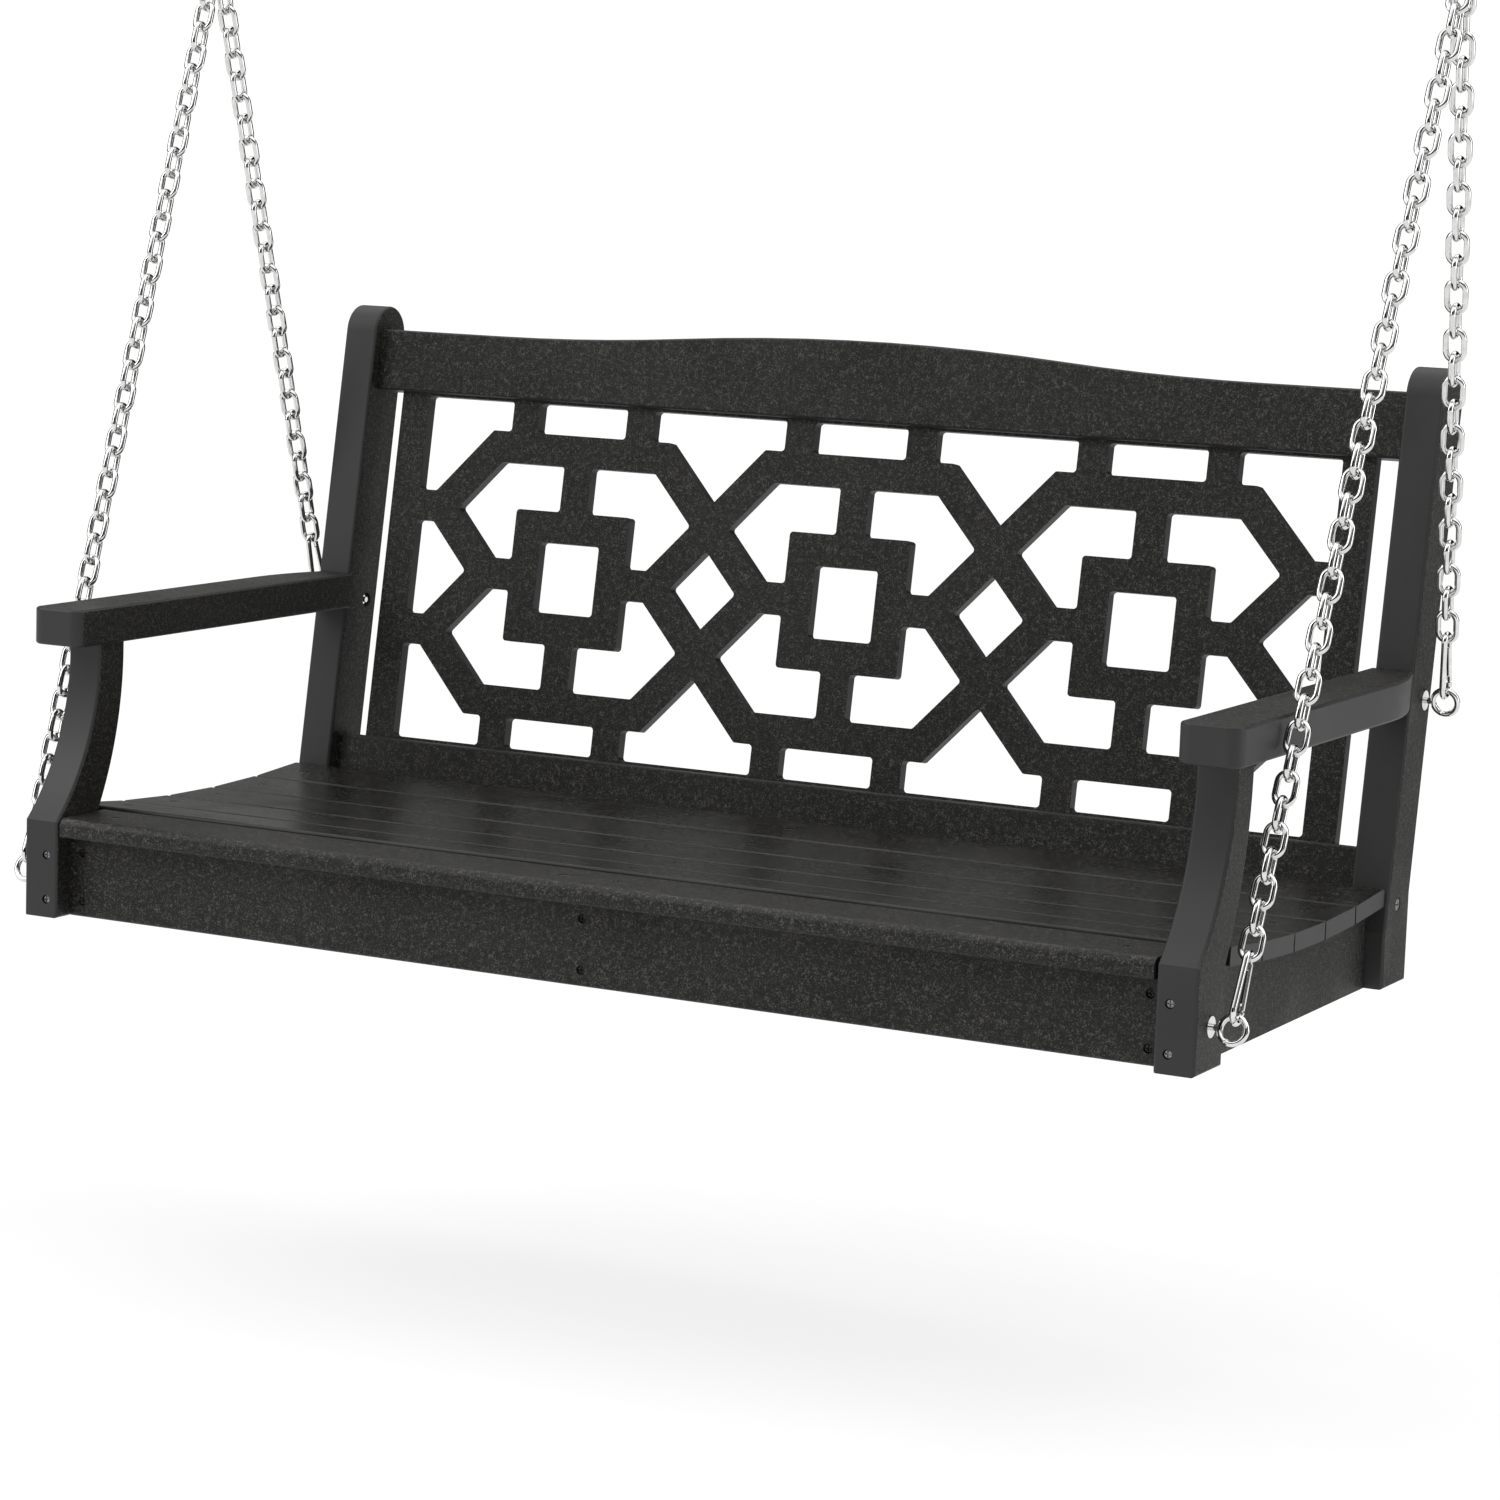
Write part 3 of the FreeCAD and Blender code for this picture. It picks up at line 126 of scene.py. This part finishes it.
def board_material(name, broad, along, edge="#2e2e2f", gloss=0.0, inner=None):
    """Foamed HDPE lumber: the sheet's broad faces are stippled by the rolls, so they are near black
    and sparkle a little; its sawn and routed edges are smooth, a shade lighter and softly glossy.
    broad is the way the stippled faces look (None: all of them); inner is one more stippled side; edge is
    the colour of the edges, which on the lattice is darkened as painted shade."""
    material, tree, shader, place = start_material(name)
    at = place.outputs["Object"]
    grain = node(tree, "ShaderNodeTexNoise",
                 {"Vector": at, "Scale": GRAIN, "Detail": 2.0, "Roughness": 0.7})
    pebble = node(tree, "ShaderNodeTexNoise", {"Vector": at, "Scale": PEBBLE, "Detail": 1.0})
    cloud = node(tree, "ShaderNodeTexNoise", {"Vector": at, "Scale": CLOUD, "Detail": 3.0})
    fine = node(tree, "ShaderNodeMath", {0: grain.outputs["Fac"], 1: GRAIN_SHARE},
                operation="MULTIPLY")
    stipple = node(tree, "ShaderNodeMath", {0: pebble.outputs["Fac"], 1: PEBBLE_SHARE, 2: fine.outputs[0]},
                   operation="MULTIPLY_ADD").outputs[0]
    face_colour = node(tree, "ShaderNodeValToRGB", {"Fac": stipple}, STIPPLE_TONES).outputs["Color"]
    # the cutter travels along the board, so its marks are stretched that way
    stretch = node(tree, "ShaderNodeMapping",
                   {"Vector": at, "Scale": [MARK_STRETCH if a else 1.0 for a in along]})
    marks = node(tree, "ShaderNodeTexNoise",
                 {"Vector": stretch.outputs[0], "Scale": CUTTER, "Detail": 1.0})
    edge_colour = node(tree, "ShaderNodeValToRGB", {"Fac": cloud.outputs["Fac"]},
                       [(0.35, edge), (0.65, EDGE_PALE)]).outputs["Color"]
    if broad is None:
        broad_face = 1.0
    else:
        towards = node(tree, "ShaderNodeVectorMath", {0: place.outputs["Normal"], 1: tuple(broad)},
                       operation="DOT_PRODUCT")
        facing = node(tree, "ShaderNodeMath", {0: towards.outputs["Value"]},
                      operation="ABSOLUTE").outputs[0]
        if inner:
            inward = node(tree, "ShaderNodeVectorMath", {0: place.outputs["Normal"], 1: inner},
                          operation="DOT_PRODUCT")
            facing = node(tree, "ShaderNodeMath", {0: facing, 1: inward.outputs["Value"]},
                          operation="MAXIMUM").outputs[0]
        broad_face = node(tree, "ShaderNodeMapRange",
                          {0: facing, 1: BROAD_FROM, 2: BROAD_FULL, 3: 0.0, 4: 1.0},
                          interpolation_type="SMOOTHSTEP").outputs[0]
    colour = node(tree, "ShaderNodeMix", {0: broad_face, 6: edge_colour, 7: face_colour},
                  data_type="RGBA")
    tree.links.new(colour.outputs[2], shader.inputs["Base Color"])
    face_rough = node(tree, "ShaderNodeMapRange",
                      {0: cloud.outputs["Fac"], 1: 0.35, 2: 0.65, 3: FACE_ROUGH[0] - gloss,
                       4: FACE_ROUGH[1] - gloss}, interpolation_type="SMOOTHSTEP")
    edge_rough = node(tree, "ShaderNodeMapRange",
                      {0: cloud.outputs["Fac"], 1: 0.3, 2: 0.7, 3: EDGE_ROUGH[0], 4: EDGE_ROUGH[1]},
                      interpolation_type="SMOOTHSTEP")
    rough = node(tree, "ShaderNodeMix",
                 {0: broad_face, 2: edge_rough.outputs[0], 3: face_rough.outputs[0]})
    tree.links.new(rough.outputs[0], shader.inputs["Roughness"])
    height = node(tree, "ShaderNodeMath", {0: stipple, 1: broad_face}, operation="MULTIPLY")
    relief = node(tree, "ShaderNodeMath",
                  {0: marks.outputs["Fac"], 1: MARK_RELIEF, 2: height.outputs[0]},
                  operation="MULTIPLY_ADD")
    bump = node(tree, "ShaderNodeBump",
                {"Height": relief.outputs[0], "Strength": STIPPLE_BUMP - GLOSS_FLATTENS * gloss,
                 "Distance": STIPPLE_DEPTH})
    tree.links.new(bump.outputs["Normal"], shader.inputs["Normal"])
    shader.inputs["IOR"].default_value = 1.50
    shader.inputs["Specular IOR Level"].default_value = 0.28
    return material


def zinc_material(name, base="#dededd", rough_low=0.03, rough_high=0.09):
    """Steel with bright zinc plating: mirror-like with a slight haze."""
    material, tree, shader, place = start_material(name)
    haze = node(tree, "ShaderNodeTexNoise",
                {"Vector": place.outputs["Object"], "Scale": HAZE, "Detail": 3.0})
    rough = node(tree, "ShaderNodeMapRange",
                 {0: haze.outputs["Fac"], 1: 0.3, 2: 0.7, 3: rough_low, 4: rough_high},
                 interpolation_type="SMOOTHSTEP")
    tree.links.new(rough.outputs[0], shader.inputs["Roughness"])
    tone = node(tree, "ShaderNodeValToRGB", {"Fac": haze.outputs["Fac"]}, [(0.3, "#cececd"), (0.7, base)])
    tree.links.new(tone.outputs["Color"], shader.inputs["Base Color"])
    bump = node(tree, "ShaderNodeBump",
                {"Height": haze.outputs["Fac"], "Strength": 0.06, "Distance": 0.0003})
    tree.links.new(bump.outputs["Normal"], shader.inputs["Normal"])
    shader.inputs["Metallic"].default_value = 1.0
    return material


def screw_material():
    """Stainless screws that have hung outdoors: a dull metal, darkened in random patches, both as grime and
    as painted shade of the recesses that the heads sit in.
    """
    material, tree, shader, place = start_material("stainless_screw")
    grime_and_shade = node(tree, "ShaderNodeTexNoise",
                 {"Vector": place.outputs["Object"], "Scale": GRIME_AND_SHADE, "Detail": 2.0})
    # the dark end of this ramp is painted shade: it darkens the heads as if shaded in their recesses
    tone = node(tree, "ShaderNodeValToRGB", {"Fac": grime_and_shade.outputs["Fac"]},
                [(0.3, "#4a4b4d"), (0.7, "#a6a7a9")])
    tree.links.new(tone.outputs["Color"], shader.inputs["Base Color"])
    rough = node(tree, "ShaderNodeMapRange", {0: grime_and_shade.outputs["Fac"], 1: 0.3, 2: 0.7, 3: 0.28, 4: 0.45},
                 interpolation_type="SMOOTHSTEP")
    tree.links.new(rough.outputs[0], shader.inputs["Roughness"])
    shader.inputs["Metallic"].default_value = 1.0
    return material


def dowel_material():
    """Glass-filled nylon dowels, hidden in their holes: pale and faintly mottled."""
    material, tree, shader, place = start_material("nylon_dowel")
    mottle = node(tree, "ShaderNodeTexNoise", {"Vector": place.outputs["Object"], "Scale": MOTTLE})
    tone = node(tree, "ShaderNodeValToRGB", {"Fac": mottle.outputs["Fac"]},
                [(0.3, "#b9b4a6"), (0.7, "#d2cdbf")])
    tree.links.new(tone.outputs["Color"], shader.inputs["Base Color"])
    shader.inputs["Roughness"].default_value = 0.5
    return material


ACROSS = (1.0, 0.0, 0.0)
BENCH_UP, BENCH_BACK = turned(0, 0, 1), turned(0, 1, 0)
BACK_FACE = turned(0, math.cos(LEAN), -math.sin(LEAN))
BACK_UP = turned(0, math.sin(LEAN), math.cos(LEAN))
upright_board = board_material("hdpe_board_upright", ACROSS, (0, 0, 1))
front_board = board_material("hdpe_board_front", BENCH_BACK, (1, 0, 0))
back_board = board_material("hdpe_board_back", BACK_FACE, (1, 0, 0))
# the lattice's edge colour #121212 is painted shade: its cut edges are darkened to stand in for the shade
# where no light reaches them
lattice_board_shaded_edges = board_material("hdpe_sheet_lattice", BACK_FACE, (0, 0, 0), edge="#121212")
seat_board = board_material("hdpe_board_seat", BENCH_UP, (1, 0, 0), edge="#161616", gloss=0.27)
nose_board = board_material("hdpe_board_nose", None, (1, 0, 0), gloss=0.10)
arm_boards = {side: board_material("hdpe_board_arm_" + side, BENCH_UP, (0, 1, 0), inner=(-sign, 0, 0))
              for side, sign in SIDES.items()}
zinc = zinc_material("zinc_plated_steel")
zinc_hook = zinc_material("zinc_plated_hook", "#e2e2e1", 0.04, 0.11)
stainless = screw_material()
nylon = dowel_material()

# the first of these that a node's name starts with is its finish
FINISH = {
    "front_post": upright_board, "back_post": upright_board, "side_rail": upright_board,
    "centre_rail": upright_board, "front_rail": front_board, "lower_back_rail": back_board,
    "top_back_rail": back_board, "lattice_panel": lattice_board_shaded_edges, "seat_slat_1": nose_board,
    "seat_slat": seat_board, "armrest_l": arm_boards["l"], "armrest_r": arm_boards["r"],
    "eyebolt": zinc_hook, "eye_": zinc_hook, "pocket_washers": zinc_hook, "snap_": zinc_hook,
    "gate_pins": zinc_hook, "chain_": zinc, "hanging_ring": zinc_hook,
    "ceiling_hook": zinc_hook, "post_screws": stainless, "front_rail_screws": stainless,
    "slat_screws": stainless, "arm_screws": stainless, "back_bolts": stainless,
    "back_rail_dowels": nylon, "arm_dowels": nylon,
}
for name, obj in nodes.items():
    for start, material in FINISH.items():
        if name.startswith(start):
            dress(obj, material)
            break

# ================================================================================================
# chains: one tree lays out a taut chain of welded links
# ================================================================================================
# millimetres: radius of the wire, inner length and width of a link, and step from link to link
LINK_WIRE, LINK_LENGTH, LINK_WIDTH, LINK_PITCH = 3.0, 24.1, 12.4, 24.0
LINK_START = 68.3           # from the eye's centre to the first link's inner end
BEND_POINTS, WIRE_SIDES = 7, 12             # along each corner of a link, and round its wire
# bench millimetres, as the design works them out: each end's right-hand eye with its count of
# links, and the right-hand ring's centre, where the two chains of that side meet
EYES = {"front": ((667.0, 33.0, 41.5), 39), "rear": ((667.0, 571.5677, 281.5), 27)}
APEX = (703.0, 400.403496, 990.9568769)


def socket(tree, name, kind, value):
    """Adds an input to a tree's interface and gives the key a modifier knows it by."""
    made = tree.interface.new_socket(name, in_out="INPUT", socket_type=kind)
    made.default_value = value
    return made.identifier


def chain_tree():
    """A row of stadium-shaped links along Z, each a quarter turn from the last."""
    tree = bpy.data.node_groups.new("welded_chain", "GeometryNodeTree")
    ids = {
        "links": socket(tree, "Links", "NodeSocketInt", 3),
        "pitch": socket(tree, "Pitch", "NodeSocketFloat", LINK_PITCH * MM),
        "wire": socket(tree, "Wire radius", "NodeSocketFloat", LINK_WIRE * MM),
        "length": socket(tree, "Centre-line length", "NodeSocketFloat", (LINK_LENGTH + 2 * LINK_WIRE) * MM),
        "width": socket(tree, "Centre-line width", "NodeSocketFloat", (LINK_WIDTH + 2 * LINK_WIRE) * MM),
        "start": socket(tree, "First link", "NodeSocketVector", (0, 0, 0)),
        "turn": socket(tree, "Turn", "NodeSocketRotation", (0, 0, 0)),
    }
    tree.interface.new_socket("Geometry", in_out="OUTPUT", socket_type="NodeSocketGeometry")
    given = node(tree, "NodeGroupInput").outputs
    half = node(tree, "ShaderNodeMath", {0: given["Centre-line width"], 1: 0.5}, operation="MULTIPLY")
    loop = node(tree, "GeometryNodeCurvePrimitiveQuadrilateral",
                {"Width": given["Centre-line width"], "Height": given["Centre-line length"]})
    stadium = node(tree, "GeometryNodeFilletCurve", {"Curve": loop.outputs[0], "Radius": half.outputs[0]},
                   mode="POLY")
    stadium.inputs["Count"].default_value = BEND_POINTS
    wire = node(tree, "GeometryNodeCurvePrimitiveCircle",
                {"Resolution": WIRE_SIDES, "Radius": given["Wire radius"]})
    bar = node(tree, "GeometryNodeCurveToMesh",
               {"Curve": stadium.outputs[0], "Profile Curve": wire.outputs[0]})
    upright = node(tree, "GeometryNodeTransform",
                   {"Geometry": bar.outputs[0], "Rotation": (math.pi / 2, 0.0, 0.0)})
    step = node(tree, "ShaderNodeCombineXYZ", {2: given["Pitch"]})
    row = node(tree, "GeometryNodeMeshLine", {"Count": given["Links"], "Offset": step.outputs[0]})
    number = node(tree, "GeometryNodeInputIndex")
    odd = node(tree, "ShaderNodeMath", {0: number.outputs[0], 1: 2.0}, operation="MODULO")
    quarter = node(tree, "ShaderNodeMath", {0: odd.outputs[0], 1: math.pi / 2}, operation="MULTIPLY")
    twist = node(tree, "ShaderNodeCombineXYZ", {2: quarter.outputs[0]})
    links = node(tree, "GeometryNodeInstanceOnPoints",
                 {"Points": row.outputs[0], "Instance": upright.outputs[0],
                  "Rotation": twist.outputs[0]})
    real = node(tree, "GeometryNodeRealizeInstances", {"Geometry": links.outputs[0]})
    placed = node(tree, "GeometryNodeTransform",
                  {"Geometry": real.outputs[0], "Translation": given["First link"],
                   "Rotation": given["Turn"]})
    smooth = node(tree, "GeometryNodeSetShadeSmooth", {"Geometry": placed.outputs[0]})
    finished = node(tree, "GeometryNodeSetMaterial", {"Geometry": smooth.outputs[0], "Material": zinc})
    node(tree, "NodeGroupOutput", {"Geometry": finished.outputs[0]})
    return tree, ids


def made_by(tree, name, values):
    """The mesh that a tree gives with these inputs, as a plain object."""
    holder = bpy.data.objects.new(name + "_maker", bpy.data.meshes.new(name + "_maker"))
    bpy.context.scene.collection.objects.link(holder)
    modifier = holder.modifiers.new("make", "NODES")
    modifier.node_group = tree
    for key, value in values.items():
        modifier[key] = value
    graph = bpy.context.evaluated_depsgraph_get()
    mesh = bpy.data.meshes.new_from_object(holder.evaluated_get(graph), depsgraph=graph)
    bpy.data.objects.remove(holder)
    obj = bpy.data.objects.new(name, mesh)
    bpy.context.scene.collection.objects.link(obj)
    return obj


def pull_frame(end, side):
    """Eye centre, and the directions across, rearward and along the pull, as the bench hangs."""
    eye, _ = EYES[end]
    flip = SIDES[side]
    start, far = hung(flip * eye[0], *eye[1:]), hung(flip * APEX[0], *APEX[1:])
    along = (far - start).normalized()
    wide = (Vector(ACROSS) - along * along.x).normalized()
    return start, wide, along.cross(wide), along


chains, chain_ids = chain_tree()
for end, (_, count) in EYES.items():
    for side in SIDES:
        start, wide, rearward, along = pull_frame(end, side)
        turn = Matrix((wide, rearward, along)).transposed().to_euler()
        first = start + along * ((LINK_START + LINK_LENGTH / 2) * MM)
        chain = made_by(chains, "chain_%s_%s_links" % (end, side), {
            chain_ids["links"]: count, chain_ids["pitch"]: LINK_PITCH * MM,
            chain_ids["wire"]: LINK_WIRE * MM,
            chain_ids["length"]: (LINK_LENGTH + 2 * LINK_WIRE) * MM,
            chain_ids["width"]: (LINK_WIDTH + 2 * LINK_WIRE) * MM,
            chain_ids["start"]: first, chain_ids["turn"]: turn,
        })
        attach(chain, "swing")
        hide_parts("chain_%s_%s" % (end, side))

# ================================================================================================
# studio: pale floor, soft light, camera
# ================================================================================================
CAMERA_AT = (2.037233, -3.914989, -0.504288)
CAMERA_RIGHT, CAMERA_UP = Vector((0.883409, 0.46394, 0.065948)), Vector((-0.09626, 0.041931, 0.994472))
LENS, SENSOR = 104.044, 36.0                # millimetres
VIEW_END = 200.0                            # metres, past the far edge of the floor
FLOOR_Z = -1.44
ROOM, BACKDROP = 1.0, 1.05   # strengths of the room's own light and of the white behind the swing
CEILING_FROM, CEILING_FULL = 0.62, 0.80     # how steeply a ray climbs, to meet the pale ceiling
CENTRE = (0.0, 0.0, -0.75)                  # the lights aim at it
# brightness round the compass, as shares of a turn that starts on the left and passes the front
PANELS = [(0.05, "#0c0c0c"), (0.08, "#ffffff"), (0.16, "#ffffff"), (0.19, "#0a0a0a"), (0.34, "#080808"),
          (0.37, "#9a9a9a"), (0.40, "#9a9a9a"), (0.43, "#0a0a0a"), (0.49, "#0a0a0a"), (0.52, "#ffffff"),
          (0.56, "#ffffff"), (0.59, "#101010"), (0.73, "#101010"), (0.78, "#8c8c8c"), (0.90, "#8c8c8c"),
          (0.95, "#0c0c0c")]
FLOOR_SIZE = 60.0
FLOOR_GLOW = 0.76            # the floor's own light; the more of it, the fainter the shadow


def studio():
    """Camera, floor and surroundings."""
    lens = bpy.data.cameras.new("camera")
    lens.lens, lens.sensor_width, lens.sensor_fit = LENS, SENSOR, "HORIZONTAL"
    lens.clip_end = VIEW_END
    camera = bpy.data.objects.new("camera", lens)
    axes = Matrix((CAMERA_RIGHT, CAMERA_UP, CAMERA_RIGHT.cross(CAMERA_UP))).transposed()
    camera.matrix_world = Matrix.Translation(CAMERA_AT) @ axes.to_4x4()
    bpy.context.scene.collection.objects.link(camera)
    bpy.context.scene.camera = camera

    mesh = bpy.data.meshes.new("floor")
    half = FLOOR_SIZE / 2
    mesh.from_pydata([(-half, -half, FLOOR_Z), (half, -half, FLOOR_Z), (half, half, FLOOR_Z),
                      (-half, half, FLOOR_Z)], [], [(0, 1, 2, 3)])
    floor = bpy.data.objects.new("floor", mesh)
    bpy.context.scene.collection.objects.link(floor)
    material, tree, shader, place = start_material("studio_floor")
    paper = node(tree, "ShaderNodeTexNoise", {"Vector": place.outputs["Object"], "Scale": 3.0})
    tone = node(tree, "ShaderNodeValToRGB", {"Fac": paper.outputs["Fac"]},
                [(0.3, "#868686"), (0.7, "#8a8a8a")])
    tree.links.new(tone.outputs["Color"], shader.inputs["Base Color"])
    shader.inputs["Roughness"].default_value = 0.9
    shader.inputs["Specular IOR Level"].default_value = 0.0
    # most of the white is the floor's own light, so that the shadow on it stays faint
    shader.inputs["Emission Color"].default_value = srgb("#ffffff")
    shader.inputs["Emission Strength"].default_value = FLOOR_GLOW
    dress(floor, material)

    world = bpy.data.worlds.new("studio")
    bpy.context.scene.world = world
    world.use_nodes = True
    sky = world.node_tree
    sky.nodes.clear()
    # a white backdrop to the eye; the light comes from a pale ceiling and from tall soft panels
    # with dark gaps between them, which draw the streaks on the bright metal
    way = node(sky, "ShaderNodeTexCoord").outputs["Generated"]
    height = node(sky, "ShaderNodeSeparateXYZ", {0: way})
    compass = node(sky, "ShaderNodeTexGradient", {"Vector": way}, gradient_type="RADIAL")
    panels = node(sky, "ShaderNodeValToRGB", {"Fac": compass.outputs["Fac"]}, PANELS)
    ceiling = node(sky, "ShaderNodeMapRange",
                   {0: height.outputs["Z"], 1: CEILING_FROM, 2: CEILING_FULL, 3: 0.0, 4: 1.0},
                   interpolation_type="SMOOTHSTEP")
    room_light = node(sky, "ShaderNodeMix",
                      {0: ceiling.outputs[0], 6: panels.outputs["Color"], 7: srgb("#c8c8c8")},
                      data_type="RGBA")
    room = node(sky, "ShaderNodeBackground", {"Color": room_light.outputs[2], "Strength": ROOM})
    backdrop = node(sky, "ShaderNodeBackground", {"Color": srgb("#ffffff"), "Strength": BACKDROP})
    seen = node(sky, "ShaderNodeLightPath")
    both = node(sky, "ShaderNodeMixShader", {0: seen.outputs["Is Camera Ray"], 1: room.outputs[0],
                                             2: backdrop.outputs[0]})
    node(sky, "ShaderNodeOutputWorld", {0: both.outputs[0]})
    bpy.context.scene.view_settings.view_transform = "Standard"


def sun(name, towards, strength, spread):
    """A sun whose light comes from a disc this many degrees wide."""
    data = bpy.data.lights.new(name, "SUN")
    data.energy, data.angle = strength, math.radians(spread)
    light = bpy.data.objects.new(name, data)
    light.matrix_world = Vector(towards).to_track_quat("-Z", "Y").to_matrix().to_4x4()
    bpy.context.scene.collection.objects.link(light)


def soft_light(name, at, towards, size, power):
    """A rectangular lamp; size is its width and height in metres, power is in watts."""
    data = bpy.data.lights.new(name, "AREA")
    data.shape, data.size, data.size_y, data.energy = "RECTANGLE", size[0], size[1], power
    light = bpy.data.objects.new(name, data)
    aim = Vector(towards) - Vector(at)
    light.matrix_world = Matrix.Translation(at) @ aim.to_track_quat("-Z", "Y").to_matrix().to_4x4()
    bpy.context.scene.collection.objects.link(light)


studio()
sun("overhead", towards=(0.10, 0.10, -1.0), strength=2.2, spread=110.0)
soft_light("key", at=(-2.6, -2.4, 1.0), towards=CENTRE, size=(1.6, 2.4), power=30.0)
soft_light("rim", at=(3.0, 0.6, 0.3), towards=CENTRE, size=(1.0, 2.4), power=18.0)
